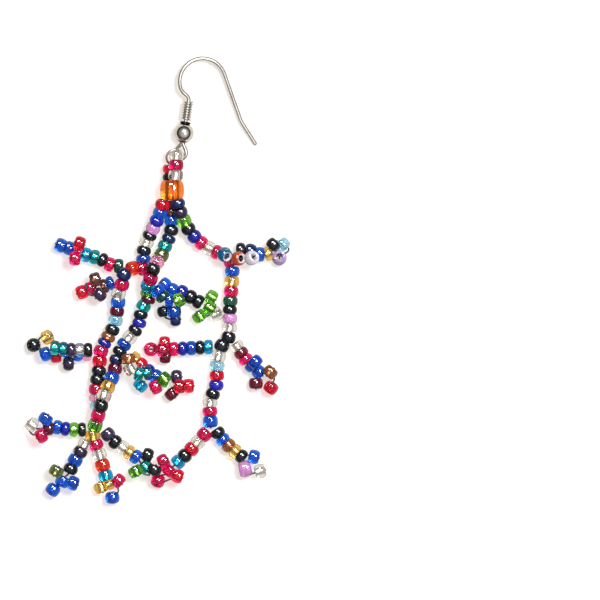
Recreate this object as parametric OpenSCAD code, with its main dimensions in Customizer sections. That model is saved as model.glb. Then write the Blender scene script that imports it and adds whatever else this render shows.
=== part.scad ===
// Branched seed bead earring on a fish hook ear wire, laid flat on a table.
// Millimetres, +Z up, +Y towards the hook, the origin on the table under the middle.
// A bead string is a tube along its thread. The beads of a branch tip are loose solids.

/* [Seed beads] */
// Width of a seed bead, across its hole
bead_w = 2.3; // [2.1:0.05:2.3]
// Width of a tip bead, across its hole
tip_bead_w = 2.1; // [1.9:0.05:2.1]
// Length of a tip bead, along its hole
tip_bead_len = 1.4; // [1.2:0.05:1.4]
// Radius of a tip bead's rounded rims
tip_bead_round = 0.4; // [0.2:0.05:0.5]
// Width of the thread where it shows
thread_w = 0.3; // [0.2:0.05:0.4]

/* [Large bead] */
// Width of the large bead that gathers the strands
large_w = 4.0; // [3.8:0.1:4.0]
// Length of the large bead
large_len = 3.0; // [2.8:0.1:3.0]
// Width of its hole
large_hole_w = 1.4; // [1.0:0.1:1.6]
// Radius of its rounded rims
large_round = 0.9; // [0.5:0.1:1.0]

/* [Ear wire] */
// Thickness of the ear wire
wire_w = 0.7; // [0.64:0.01:0.7]
// Straight stem, through the ball and the coil
stem_len = 7.25; // [7.25:0.05:7.6]
// Radius of the kick above the coil
kick_r = 0.95; // [0.9:0.05:1.1]
// Angle of the kick
kick_turn = 59; // [50:1:60]
// Radius where the wire turns back over
shoulder_r = 2.0; // [1.8:0.1:2.4]
// Angle of that turn
shoulder_turn = 38; // [34:1:42]
// Radius of the bend that hangs in the ear
bend_r = 3.85; // [3.6:0.05:4.0]
// Angle of that bend
bend_turn = 173; // [168:1:176]
// Straight stretch behind the ear
back_len = 7.8; // [7:0.1:9]
// Radius of the flick near the free end
flick_r = 5.0; // [4:0.5:6]
// Angle of the flick
flick_turn = 13; // [8:1:16]
// Straight free end
free_len = 3.8; // [3:0.1:5]
// Tilt that lays the free end down on the table
hook_roll = 6; // [0:0.5:6]

/* [Eye, ball and coil] */
// Radius of the eye's round part, to the wire's middle
eye_r = 1.0; // [0.95:0.05:1.0]
// From the ball's foot to the middle of that round part
eye_drop = 1.55; // [1.5:0.05:1.6]
// Twist of the eye out of the hook's plane
eye_twist = 32; // [30:1:36]
// Diameter of the ball
ball_w = 3.3; // [3.1:0.1:3.3]
// Hole through the ball
ball_hole_w = 1.0; // [0.95:0.05:1.1]
// Radius of the collar on the ball, to the middle of its rounded rim
collar_r = 0.66; // [0.66:0.01:0.7]
// Thickness of the collar
collar_w = 0.46; // [0.42:0.02:0.46]
// From the ball's top up to the collar's middle
collar_lift = 0.05; // [0.01:0.01:0.05]
// Thickness of the coil's wire
coil_wire_w = 0.46; // [0.46:0.01:0.48]
// From turn to turn of the coil
coil_pitch = 0.43; // [0.38:0.01:0.43]
// Turns of the coil
coil_turns = 8; // [5:1:8]
// Slack between the ear wire and the coil
coil_slack = 0.05; // [0.03:0.01:0.1]
// From the ball's middle to the coil's first turn
coil_start = 2.3; // [2.2:0.05:2.3]

/* [Jump ring] */
// Radius of the ring, to the wire's middle
ring_r = 1.33; // [1.3:0.01:1.35]
// Thickness of its wire
ring_wire_w = 0.44; // [0.4:0.02:0.46]
// Tilt of the ring where it passes through the eye
ring_tilt = 28; // [27:1:31]

/* [Hidden] */
$fn = 48;
wire_r = wire_w / 2;
coil_r = wire_r + coil_slack + coil_wire_w / 2;
stem_foot = 1.8;
eye_lap = 0.25;
joint_lap = 0.04;
joint_ease = 0.003;

// Middle of the ball, the direction of the stem, and the middles of the ring and the large bead
ball_at = [4.4, 24.8, 1.65];
stem_lean = 8.5;
ring_at = [2.8, 20.8, 1.5];
ring_tilt_way = 30;
large_at = [2.45, 15.25, 2.0];

// How the ear wire runs from the ball's foot: straight lengths, and turns to the left or right
WIRE_RUN = [
  ["straight", stem_len],
  ["left", kick_r, kick_turn],
  ["straight", 0.5],
  ["right", shoulder_r, shoulder_turn],
  ["straight", 0.05],
  ["right", bend_r, bend_turn],
  ["straight", back_len],
  ["left", flick_r, flick_turn],
  ["straight", free_len],
];

// Routes of the threads: points x, y, z along the middle of each string
left_route = [
  [1.0, 13.4, 3.25], [0.4, 11.3, 2.7], [-1.3, 7.7, 1.3], [-2.3, 5.0, 1.2], [-2.4, 2.4, 1.6],
  [-4.3, 2.2, 2.7], [-5.7, 1.0, 3.1], [-5.9, -0.6, 3.1], [-6.5, -2.2, 2.3], [-6.6, -4.0, 1.3],
  [-7.3, -7.5, 1.2], [-9.3, -11.2, 1.4], [-9.7, -14.5, 1.15], [-10.2, -17.8, 1.15],
  [-10.0, -20.8, 1.15],
];
middle_route = [
  [2.2, 13.4, 1.15], [2.3, 8.6, 1.15], [1.2, 5.8, 1.2], [0.5, 4.1, 1.7], [-0.6, 2.4, 3.4],
  [-1.1, 0.6, 3.4], [-1.7, -1.2, 1.8], [-1.5, -2.8, 1.2], [-2.6, -4.6, 1.15], [-3.2, -7.3, 1.15],
  [-5.6, -10.5, 1.15], [-6.7, -12.6, 1.15], [-7.2, -15.0, 1.3], [-8.8, -18.8, 3.3],
  [-9.3, -20.5, 3.6], [-10.3, -23.7, 1.9], [-10.8, -25.4, 1.3], [-9.8, -28.3, 1.2],
  [-8.5, -32.6, 1.15],
];
right_route = [
  [3.4, 13.4, 3.3], [3.8, 11.7, 3.0], [5.2, 8.8, 1.7], [7.3, 6.5, 1.15], [10.0, 4.9, 1.15],
  [11.6, 4.4, 1.15], [12.4, 2.6, 1.15], [12.4, 0.1, 1.15], [12.1, -4.0, 1.15],
  [11.9, -9.0, 1.15], [10.7, -10.7, 1.15], [10.0, -13.5, 1.15], [9.8, -17.2, 1.15],
  [8.8, -20.0, 1.15], [8.9, -24.4, 1.15],
];

// The loop through the jump ring: a front and a back column of beads over the large bead,
// and the thread between them, which enters the front column from below
bead_r = bead_w / 2;
thread_r = thread_w / 2;
loop_front_route = [[3.05, 17.0, 3.4], [3.15, 19.6, 3.5], [3.25, 21.7, 3.55]];
loop_back_route = [[2.1, 17.1, 1.15], [2.1, 19.1, 1.15]];
loop_thread_route = [[2.1, 18.9, 0.9], [2.1, 19.4, 0.65], [2.15, 20.0, 0.65], [2.4, 20.5, 1.4],
                     [2.8, 21.0, 2.7]];

// Branches of the left strand: the thread's route, then the tip beads as
// x, y, z of the middle, the turn of the hole from +X, and its rise
left_1_route = [[-5.9, 2.6, 1.15], [-7.9, 2.9, 1.15], [-9.6, 3.9, 1.15], [-12.4, 4.65, 1.15]];
left_1_tip = [[-12.9, 6.4, 2.9, -20, 0], [-13.2, 5.1, 1.05, -20, 0], [-13.7, 3.9, 2.95, -5, 0],
              [-14.65, 5.6, 1.05, -20, 0], [-16.1, 6.1, 1.05, -20, 0]];
left_2_route = [[-7.3, 0.0, 1.15], [-9.1, -0.8, 1.15]];
left_2_tip = [[-10.3, 0.4, 2.7, 15, 0], [-11.1, -1.1, 1.05, 20, 0], [-9.6, -2.1, 2.9, 45, 0],
              [-12.6, -1.7, 1.05, 20, 0]];
left_3_route = [[-10.9, -11.3, 3.5], [-14.3, -11.3, 3.5], [-17.4, -10.9, 3.4]];
left_3_tip = [[-18.4, -9.2, 2.1, 20, 30], [-18.6, -12.0, 1.9, 20, 0], [-20.6, -10.5, 1.2, 185, 30]];
left_4_route = [[-11.0, -12.0, 1.15], [-14.0, -12.0, 1.15]];
left_4_tip = [[-14.8, -13.6, 1.05, 0, 0], [-15.3, -11.4, 1.05, 0, 0], [-16.9, -12.3, 1.05, 0, 0]];

// Branches of the middle strand, in the same columns
middle_1_route = [[-0.1, -1.2, 3.7], [1.3, -2.8, 3.1], [2.4, -3.0, 3.1]];
middle_1_tip = [[3.6, -3.0, 3.1, 20, 0], [1.1, -4.9, 1.05, 100, 0], [2.8, -5.0, 3.15, 90, 0],
                [3.0, -6.2, 1.05, 0, 0]];
middle_2_route = [[0.6, 0.0, 1.5], [2.4, -1.3, 1.15], [4.1, -1.7, 1.15], [7.2, -3.5, 1.15]];
middle_2_tip = [[9.0, -2.5, 1.05, -30, 0], [8.7, -4.3, 2.8, -30, 0], [7.0, -5.7, 1.05, -55, 0],
                [9.8, -5.3, 1.05, 20, 0]];
middle_3_route = [[-4.9, -12.2, 3.55], [-4.4, -14.4, 3.55], [-3.0, -15.3, 3.55],
                  [-1.0, -15.0, 3.55]];
middle_3_tip = [[1.1, -16.1, 3.6, -45, 0], [-2.8, -17.2, 1.3, 45, 0], [-0.3, -17.5, 2.8, 30, 0]];
middle_4_route = [[-4.4, -12.3, 1.15], [-2.6, -13.9, 1.15], [-0.3, -15.7, 1.15],
                  [1.8, -16.6, 1.15]];
middle_4_tip = [[3.2, -15.8, 1.05, 0, 0], [3.7, -17.4, 2.8, 0, 0], [2.4, -18.6, 1.05, -50, 0],
                [5.2, -17.3, 1.05, 0, 0]];
middle_end = [[-9.4, -34.2, 1.05, 110, 0], [-6.5, -33.1, 1.05, -45, 0],
              [-7.5, -36.2, 1.25, -85, 35]];

// Branches of the right strand, in the same columns
right_1_route = [[13.2, 5.4, 1.15], [15.4, 5.2, 1.15], [17.1, 4.6, 1.15], [18.7, 4.8, 1.15]];
right_1_tip = [[19.3, 6.2, 2.8, 45, 0], [21.1, 6.2, 1.3, -65, 0], [20.3, 4.0, 1.15, 80, 65]];
right_2_tip = [[11.2, 4.5, 3.5, -30, 50], [13.5, 3.9, 3.5, 0, 50], [15.8, 4.0, 3.5, 30, 50]];
right_3_route = [[9.0, -10.8, 1.15], [5.7, -11.0, 1.15], [2.1, -11.2, 1.15]];
right_3_tip = [[1.2, -10.2, 1.05, 0, 0], [0.9, -11.3, 3.1, 0, 0], [1.3, -12.4, 1.05, 0, 0],
               [-1.1, -11.2, 1.15, 0, 70]];
right_4_route = [[13.0, -10.4, 1.15], [14.8, -13.0, 1.15], [16.0, -14.2, 1.15]];
right_4_tip = [[16.3, -13.3, 3.2, -45, 0], [16.9, -15.0, 1.05, -45, 0], [18.8, -15.0, 2.7, 45, 0],
               [16.4, -16.9, 1.05, 90, 0], [18.9, -17.6, 1.15, 55, 15]];
right_5_route = [[8.0, -25.2, 1.15], [5.7, -27.8, 1.15], [2.9, -30.5, 1.15]];
right_5_tip = [[1.9, -31.4, 1.05, 45, 0], [1.0, -29.8, 2.7, 30, 0], [3.4, -32.3, 2.6, -20, 0],
               [0.1, -33.1, 1.15, -110, 25]];
right_6_route = [[9.9, -24.9, 1.15], [11.4, -26.8, 1.15], [14.6, -29.5, 1.15]];
right_6_tip = [[16.1, -29.1, 2.4, -15, 0], [14.6, -31.1, 1.05, 15, 0], [17.1, -31.5, 1.05, 15, 0]];

// Branches at the foot of the left and middle strands, in the same columns
foot_1_route = [[-12.2, -24.6, 1.15], [-14.9, -24.5, 1.15], [-17.1, -24.1, 1.15]];
foot_1_tip = [[-18.2, -24.4, 1.05, 0, 0], [-18.6, -22.8, 2.7, 60, 0], [-19.3, -25.6, 2.6, 30, 0],
              [-21.1, -23.8, 1.05, -40, 0]];
foot_2_route = [[-12.3, -27.5, 1.15], [-13.7, -29.7, 1.15], [-14.6, -31.5, 1.15]];
foot_2_tip = [[-16.8, -31.5, 2.4, 60, 0], [-15.8, -33.2, 1.05, 60, 0], [-14.0, -33.5, 2.4, -20, 0],
              [-17.4, -34.6, 1.15, -125, 25]];
foot_3_route = [[-8.4, -25.1, 1.15], [-7.1, -26.6, 1.15], [-3.3, -29.3, 1.15]];
foot_3_tip = [[-1.6, -28.8, 2.4, -20, 0], [-2.1, -30.8, 1.05, -45, 0], [-3.6, -31.5, 2.7, -60, 0],
              [-0.5, -31.3, 2.7, 70, 0]];

function place(row) = [row[0], row[1], row[2]];
function unit(v) = v / norm(v);

// Direction in which the route arrives at point i, and the middle direction of the turn there
function arriving(p, i) = unit(i == 0 ? p[1] - p[0] : p[i] - p[i - 1]);
function leaving(p, i) = unit(i == len(p) - 1 ? p[i] - p[i - 1] : p[i + 1] - p[i]);
function mitre(p, i) = unit(arriving(p, i) + leaving(p, i));

// One corner of a ring of the tube, slid along the arriving stretch to the mitre plane
function slid(offset, way, plane) = offset - way * (offset * plane) / (way * plane);
function corner(way, plane, r, a, across) =
  slid(r * (cos(a) * across + sin(a) * cross(way, across)), way, plane);

TUBE_SIDES = 8;

// A tube that sweeps an eight-sided ring along a route
module tube(points, r) {
  last = len(points) - 1;
  corners = [for (i = [0:last], k = [0:TUBE_SIDES - 1])
    let (way = arriving(points, i), across = unit(cross([0, 0, 1], way)))
    points[i] + corner(way, mitre(points, i), r, 360 * k / TUBE_SIDES, across)];
  foot = [for (k = [0:TUBE_SIDES - 1]) k];
  head = [for (k = [TUBE_SIDES - 1:-1:0]) last * TUBE_SIDES + k];
  walls = [for (i = [0:last - 1], k = [0:TUBE_SIDES - 1])
    let (next = (k + 1) % TUBE_SIDES, low = i * TUBE_SIDES, high = low + TUBE_SIDES)
    [low + k, high + k, high + next, low + next]];
  polyhedron(corners, concat([foot, head], walls), convexity = 8);
}

module string_tube(route) tube(route, bead_r);

// Half section of a bead with rounded rims, from the hole outwards
module bead_section(w, length, hole_w, rim) {
  inner = hole_w / 2;
  translate([inner, rim - length / 2]) square([w / 2 - inner, length - 2 * rim]);
  translate([inner, -length / 2]) square([w / 2 - inner - rim, length]);
  for (end = [-1, 1]) translate([w / 2 - rim, end * (length / 2 - rim)]) circle(rim);
}

module tip_beads(rows)
  for (row = rows)
    translate(place(row)) rotate([0, 90 - row[4], row[3]])
      rotate_extrude() bead_section(tip_bead_w, tip_bead_len, 0, tip_bead_round);

module branch(tint, route, tip) color(tint) {
  string_tube(route);
  tip_beads(tip);
}

// The frame of the ear wire: the origin in the ball's middle, +Y up the stem
module stem_frame() translate(ball_at) rotate([0, 0, -stem_lean]) rotate([0, hook_roll, 0])
  children();

// A straight runs a little way into its neighbours, and is that much thinner
module wire_straight(length) rotate([-90, 0, 0]) translate([0, 0, -joint_lap])
  cylinder(r = wire_r - joint_ease, h = length + 2 * joint_lap);

module wire_arc(r, turn) rotate_extrude(angle = turn) translate([r, 0]) circle(wire_r);

// Draws the wire's steps one after the other, each from where the last one ended
module follow(steps, i = 0) {
  if (i < len(steps)) {
    step = steps[i];
    r = step[1];
    if (step[0] == "straight") {
      wire_straight(r);
      translate([0, r, 0]) follow(steps, i + 1);
    } else if (step[0] == "left") {
      translate([-r, 0, 0]) {
        wire_arc(r, step[2]);
        rotate([0, 0, step[2]]) translate([r, 0, 0]) follow(steps, i + 1);
      }
    } else {
      translate([r, 0, 0]) {
        rotate([0, 0, 180 - step[2]]) wire_arc(r, step[2]);
        rotate([0, 0, -step[2]]) translate([-r, 0, 0]) follow(steps, i + 1);
      }
    }
  } else {
    sphere(wire_r);
  }
}

// Teardrop eye: two legs that part inside the stem and touch a round bottom
module eye() {
  drop = eye_drop + eye_lap;
  spread = asin(eye_r / drop);
  leg = sqrt(drop * drop - eye_r * eye_r);
  translate([0, eye_lap, 0]) {
    for (hand = [-1, 1]) rotate([0, 0, 180 + hand * spread]) wire_straight(leg);
    translate([0, -drop, 0]) rotate([0, 0, 180 - spread]) wire_arc(eye_r, 180 + 2 * spread);
  }
}

module ear_wire() color("silver") stem_frame() translate([0, -stem_foot, 0]) {
  follow(WIRE_RUN);
  rotate([0, -eye_twist, 0]) eye();
}

module wire_coil() color("lightgray") stem_frame()
  translate([0, coil_start, 0]) rotate([-90, 0, 0]) rotate_extrude()
    for (turn = [0:coil_turns - 1]) translate([coil_r, turn * coil_pitch]) circle(coil_wire_w / 2);

module ball_bead() color("gainsboro") stem_frame() rotate([-90, 0, 0]) {
  difference() {
    sphere(ball_w / 2);
    cylinder(r = ball_hole_w / 2, h = 2 * ball_w, center = true);
  }
  translate([0, 0, ball_w / 2 + collar_lift]) rotate_extrude() translate([collar_r, 0]) circle(collar_w / 2);
}

module jump_ring() color("silver") translate(ring_at)
  rotate([0, 0, ring_tilt_way]) rotate([ring_tilt, 0, 0])
    rotate_extrude() translate([ring_r, 0]) circle(ring_wire_w / 2);

module bead_loop() color("deeppink") {
  string_tube(loop_front_route);
  string_tube(loop_back_route);
  tube(loop_thread_route, thread_r);
}

module large_bead() color("darkorange") translate(large_at) rotate([90, 0, 0])
  rotate_extrude() bead_section(large_w, large_len, large_hole_w, large_round);

module left_strand() color("crimson") string_tube(left_route);
module left_branch_1() branch("deeppink", left_1_route, left_1_tip);
module left_branch_2() branch("sienna", left_2_route, left_2_tip);
module left_branch_3() branch("darkturquoise", left_3_route, left_3_tip);
module left_branch_4() branch("indigo", left_4_route, left_4_tip);
module middle_strand() color("royalblue") string_tube(middle_route);
module middle_tip() color("gold") tip_beads(middle_end);
module middle_branch_1() branch("dodgerblue", middle_1_route, middle_1_tip);
module middle_branch_2() branch("limegreen", middle_2_route, middle_2_tip);
module middle_branch_3() branch("darkcyan", middle_3_route, middle_3_tip);
module middle_branch_4() branch("firebrick", middle_4_route, middle_4_tip);
module right_strand() color("mediumblue") string_tube(right_route);
module right_branch_1() branch("plum", right_1_route, right_1_tip);
module right_branch_2() color("whitesmoke") tip_beads(right_2_tip);
module right_branch_3() branch("blue", right_3_route, right_3_tip);
module right_branch_4() branch("maroon", right_4_route, right_4_tip);
module right_branch_5() branch("mediumvioletred", right_5_route, right_5_tip);
module right_branch_6() branch("goldenrod", right_6_route, right_6_tip);
module foot_branch_1() branch("green", foot_1_route, foot_1_tip);
module foot_branch_2() branch("navy", foot_2_route, foot_2_tip);
module foot_branch_3() branch("darkslategray", foot_3_route, foot_3_tip);

ear_wire();
wire_coil();
ball_bead();
jump_ring();
bead_loop();
large_bead();
left_strand();
left_branch_1();
left_branch_2();
left_branch_3();
left_branch_4();
middle_strand();
middle_tip();
middle_branch_1();
middle_branch_2();
middle_branch_3();
middle_branch_4();
right_strand();
right_branch_1();
right_branch_2();
right_branch_3();
right_branch_4();
right_branch_5();
right_branch_6();
foot_branch_1();
foot_branch_2();
foot_branch_3();
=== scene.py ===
import math

import bpy
import numpy as np
from mathutils import Matrix, Vector


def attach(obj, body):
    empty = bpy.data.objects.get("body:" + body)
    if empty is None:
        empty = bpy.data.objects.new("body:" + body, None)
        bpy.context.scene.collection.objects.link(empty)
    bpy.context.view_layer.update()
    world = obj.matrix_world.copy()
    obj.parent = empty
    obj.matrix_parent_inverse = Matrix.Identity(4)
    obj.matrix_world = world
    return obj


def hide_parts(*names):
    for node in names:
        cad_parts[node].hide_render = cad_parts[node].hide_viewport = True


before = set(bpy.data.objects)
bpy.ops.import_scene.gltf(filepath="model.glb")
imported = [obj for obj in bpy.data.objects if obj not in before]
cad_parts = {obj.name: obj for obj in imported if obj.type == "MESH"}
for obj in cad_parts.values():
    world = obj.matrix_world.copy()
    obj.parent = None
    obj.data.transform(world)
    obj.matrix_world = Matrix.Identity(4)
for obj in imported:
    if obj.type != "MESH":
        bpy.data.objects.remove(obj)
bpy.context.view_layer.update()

mm = 0.001
# The photograph: its middle and width in mm, its width in pixels, and a camera that sees as much.
photo = {"middle": (23.75, -3.0), "wide": 100.0, "pixels": 600, "lens": 600.0, "sensor": 36.0,
         "nearest": 0.05, "farthest": 20.0}
print("earring: frame loaded,", len(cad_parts), "parts")


# Node trees

class Wired:
    # One output in a node tree. Its sums and products add Math nodes.
    def __init__(self, tree, socket=None):
        self.tree, self.socket = tree, socket

    def add(self, kind, settings=None, values=None, out=0):
        node = self.tree.nodes.new(kind)
        for name, choice in (settings or {}).items():
            if name == "stops":
                while len(node.color_ramp.elements) < len(choice):
                    node.color_ramp.elements.new(0.5)
                for stop, (place, shade) in zip(node.color_ramp.elements, choice):
                    stop.position, stop.color = place, (*shade, 1)
            else:
                setattr(node, name, choice)
        for key, value in (values or {}).items():
            if isinstance(value, Wired):
                self.tree.links.new(value.socket, node.inputs[key])
            else:
                node.inputs[key].default_value = value
        return Wired(self.tree, node.outputs[out] if len(node.outputs) else None)

    def math(self, operation, first, second=0.0):
        return self.add("ShaderNodeMath", {"operation": operation}, {0: first, 1: second})

    def __add__(self, other): return self.math("ADD", self, other)
    def __radd__(self, other): return self.math("ADD", other, self)
    def __sub__(self, other): return self.math("SUBTRACT", self, other)
    def __rsub__(self, other): return self.math("SUBTRACT", other, self)
    def __mul__(self, other): return self.math("MULTIPLY", self, other)
    def __rmul__(self, other): return self.math("MULTIPLY", other, self)
    def __truediv__(self, other): return self.math("DIVIDE", self, other)
    def __rtruediv__(self, other): return self.math("DIVIDE", other, self)

    def ownSpace(self):
        # a place in the piece's own space
        return self.add("ShaderNodeTexCoord", None, None, out="Object")

    def noise(self, scale, detail):
        return self.add("ShaderNodeTexNoise", None, {"Vector": self, "Scale": scale, "Detail": detail})

    def axis(self, letter):
        return self.add("ShaderNodeSeparateXYZ", None, {"Vector": self}, out=letter)

    def between(self, low, high):
        # 0 at low, 1 at high
        return self.add("ShaderNodeMapRange", {"clamp": True},
                        {"Value": self, "From Min": low, "From Max": high})

    def blendColours(self, first, second):
        shades = {6: first, 7: second}
        for key, shade in shades.items():
            if not isinstance(shade, Wired):
                shades[key] = (*shade, 1)
        return self.add("ShaderNodeMix", {"data_type": "RGBA"}, {0: self, **shades}, out=2)


def newMaterial(name):
    material = bpy.data.materials.new(name)
    material.use_nodes = True
    material.node_tree.nodes.clear()
    return material, Wired(material.node_tree)


def finishMaterial(start, shader):
    start.add("ShaderNodeOutputMaterial", None, {"Surface": shader})


# Materials

# tint: what the eye sees where the glass is thin. deep: where it is thick or dyed darker.
# through: how much light passes. core and ends: what the hole and the bead's ends wear instead; pale ends
# paint the white glint off a polished end face.
# round: the bead's shape is rounder. The rim colour is painted shade, put where the bead curves down to the
# table.
glassColours = {
    "red": {"tint": (0.90, 0.012, 0.06), "deep": (0.56, 0.003, 0.03), "through": 0.85},
    "rose": {"tint": (0.88, 0.012, 0.17), "deep": (0.52, 0.003, 0.10), "through": 0.85},
    "orangeRed": {"tint": (0.94, 0.10, 0.03), "deep": (0.72, 0.02, 0.01), "through": 0.85},
    "pink": {"tint": (0.97, 0.58, 0.76), "deep": (0.90, 0.36, 0.60), "through": 0.85},
    "lilac": {"tint": (0.84, 0.44, 0.80), "deep": (0.74, 0.34, 0.70), "through": 0.5},
    "mauve": {"tint": (0.66, 0.46, 0.82), "deep": (0.50, 0.34, 0.68), "through": 0.4, "core": "black"},
    "maroon": {"tint": (0.24, 0.010, 0.04), "deep": (0.08, 0.003, 0.02), "through": 0.6},
    "copper": {"tint": (0.50, 0.17, 0.06), "deep": (0.20, 0.05, 0.02), "through": 0.6, "core": "silver"},
    "brown": {"tint": (0.18, 0.06, 0.04), "deep": (0.06, 0.02, 0.02), "through": 0.5, "core": "silver"},
    "amber": {"tint": (1.0, 0.27, 0.02), "deep": (0.98, 0.19, 0.01), "rim": (0.90, 0.12, 0.01),
              "through": 0.85, "core": "amber"},
    "gold": {"tint": (0.94, 0.64, 0.18), "deep": (0.78, 0.40, 0.04), "through": 0.9, "core": "silver"},
    "green": {"tint": (0.22, 0.66, 0.06), "deep": (0.05, 0.30, 0.015), "through": 0.9, "core": "silver"},
    "deepGreen": {"tint": (0.02, 0.13, 0.075), "deep": (0.006, 0.05, 0.035), "through": 0.5},
    "olive": {"tint": (0.22, 0.28, 0.08), "deep": (0.07, 0.10, 0.03), "through": 0.8, "core": "silver"},
    "teal": {"tint": (0.01, 0.55, 0.60), "deep": (0.003, 0.16, 0.18), "through": 0.9, "core": "silver"},
    "cyan": {"tint": (0.006, 0.52, 0.92), "deep": (0.002, 0.24, 0.62), "through": 0.9, "core": "silver"},
    "paleBlue": {"tint": (0.48, 0.80, 0.94), "deep": (0.24, 0.58, 0.82), "through": 0.9},
    "blue": {"tint": (0.012, 0.19, 0.86), "deep": (0.003, 0.06, 0.42), "through": 0.8},
    "royal": {"tint": (0.025, 0.035, 0.58), "deep": (0.012, 0.016, 0.28), "through": 0.4, "round": True},
    "navy": {"tint": (0.010, 0.036, 0.16), "deep": (0.005, 0.014, 0.07), "through": 0.2, "round": True},
    "purple": {"tint": (0.042, 0.027, 0.070), "deep": (0.020, 0.012, 0.034), "through": 0.0, "round": True},
    "black": {"tint": (0.009, 0.012, 0.016), "deep": (0.005, 0.007, 0.009), "through": 0.0, "round": True},
    "clear": {"tint": (0.98, 0.965, 0.95), "deep": (0.88, 0.85, 0.82), "rim": (0.22, 0.195, 0.18),
              "through": 0.92, "core": "silver"},
    "pearl": {"tint": (0.92, 0.88, 0.93), "deep": (0.80, 0.72, 0.84), "through": 0.3},
    "slate": {"tint": (0.16, 0.18, 0.42), "deep": (0.08, 0.09, 0.26), "through": 0.2},
    # aqua and coral: their pale ends are a painted reflection, the white glint off polished end faces
    "aqua": {"tint": (0.01, 0.26, 0.46), "deep": (0.004, 0.12, 0.26), "through": 0.6,
             "ends": "pearl", "core": "slate"},
    "coral": {"tint": (0.74, 0.10, 0.04), "deep": (0.56, 0.05, 0.03), "through": 0.3,
              "ends": "pearl", "core": "black"},
}
colourNames = list(glassColours)

# clouds and ripples: noise scales. The rim is the part of a bead that curves down to the table; painted
# shade darkens its colour there.
glassLook = {"clouds": 900.0, "cloudMiddle": 0.35, "toneShare": 0.55, "cloudShare": 0.75,
             "rimFrom": 0.4, "rimTo": 0.95, "rimShare": 0.75, "rimDark": 0.35,
             "ripples": 1500.0, "rippleStrength": 0.05, "rippleDepth": 0.02 * mm,
             "rough": 0.04, "roughCloud": 0.05, "bends": 1.52,
             "tintsFrom": 0.4, "tintPower": 0.35, "tintShare": 0.5}


def glassMaterial(name, look):
    material, start = newMaterial(name + "Glass")
    place = start.ownSpace()
    tone = start.add("ShaderNodeAttribute", {"attribute_name": "tone"}, None, out="Fac")
    cloud = place.noise(glassLook["clouds"], 1.0)
    clouds = glassLook["cloudShare"] * (cloud - glassLook["cloudMiddle"])
    share = (glassLook["toneShare"] * tone + clouds).between(0.0, 1.0)
    shade = share.blendColours(look["tint"], look["deep"])
    # painted shade: the glass's colour is darkened where it curves down to the table
    side = start.add("ShaderNodeAttribute", {"attribute_name": "side"}, None, out="Fac")
    rim = look.get("rim") or [glassLook["rimDark"] * c for c in look["deep"]]
    rimShadeMask = side.between(glassLook["rimFrom"], glassLook["rimTo"])
    shade = (glassLook["rimShare"] * rimShadeMask).blendColours(shade, rim)
    ripple = place.noise(glassLook["ripples"], 0.0)
    bump = start.add("ShaderNodeBump", None, {
        "Strength": glassLook["rippleStrength"], "Distance": glassLook["rippleDepth"], "Height": ripple})
    body = start.add("ShaderNodeBsdfPrincipled", None, {
        "Base Color": shade, "Roughness": glassLook["rough"] + glassLook["roughCloud"] * cloud,
        "IOR": glassLook["bends"], "Transmission Weight": look["through"], "Normal": bump})
    if look["through"] > glassLook["tintsFrom"]:
        # light that passes through a bead reaches the table tinted
        tinted = [c ** glassLook["tintPower"] for c in look["tint"]]
        passes = start.add("ShaderNodeBsdfTransparent", None, {"Color": (*tinted, 1)})
        shadow = start.add("ShaderNodeLightPath", None, None, out="Is Shadow Ray")
        tinting = shadow * (glassLook["tintShare"] * look["through"])
        body = start.add("ShaderNodeMixShader", None, {0: tinting, 1: body, 2: passes})
    finishMaterial(start, body)
    return material


def silverLining():
    material, start = newMaterial("silverLining")
    place = start.ownSpace()
    flake = place.noise(2500.0, 2.0)
    shade = flake.between(0.35, 0.65).blendColours((0.95, 0.93, 0.88), (0.62, 0.58, 0.50))
    finishMaterial(start, start.add("ShaderNodeBsdfPrincipled", None, {
        "Base Color": shade, "Metallic": 1.0, "Roughness": 0.15 + 0.2 * flake}))
    return material


leafLook = {"streaks": 9000.0, "shift": 0.7, "ragged": 1.6, "slant": 300.0, "middle": 0.0150}


def amberLining():
    # gold leaf in broken streaks along the hole, dark red between them
    material, start = newMaterial("amberLining")
    place = start.ownSpace()
    across = place.axis("X")
    along = place.axis("Y")
    wave = across * leafLook["streaks"] + leafLook["shift"]
    notch = place.noise(3200.0, 1.0)
    ragged = leafLook["ragged"] * (notch - 0.5)
    slant = leafLook["slant"] * (along - leafLook["middle"])
    leaf = (wave.math("SINE", wave) + ragged - slant).between(-0.2, 0.2)
    shade = leaf.blendColours((0.12, 0.010, 0.010), (1.0, 0.62, 0.16))
    finishMaterial(start, start.add("ShaderNodeBsdfPrincipled", None, {
        "Base Color": shade, "Metallic": 0.7, "Roughness": 0.22}))
    return material


def threadMaterial():
    material, start = newMaterial("waxedThread")
    place = start.ownSpace()
    fibre = place.noise(6000.0, 2.0)
    shade = fibre.between(0.3, 0.7).blendColours((0.010, 0.010, 0.012), (0.045, 0.042, 0.045))
    bump = start.add("ShaderNodeBump", None, {"Strength": 0.4, "Distance": 0.00003, "Height": fibre})
    finishMaterial(start, start.add("ShaderNodeBsdfPrincipled", None, {
        "Base Color": shade, "Roughness": 0.45 + 0.3 * fibre, "Normal": bump}))
    return material


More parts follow.
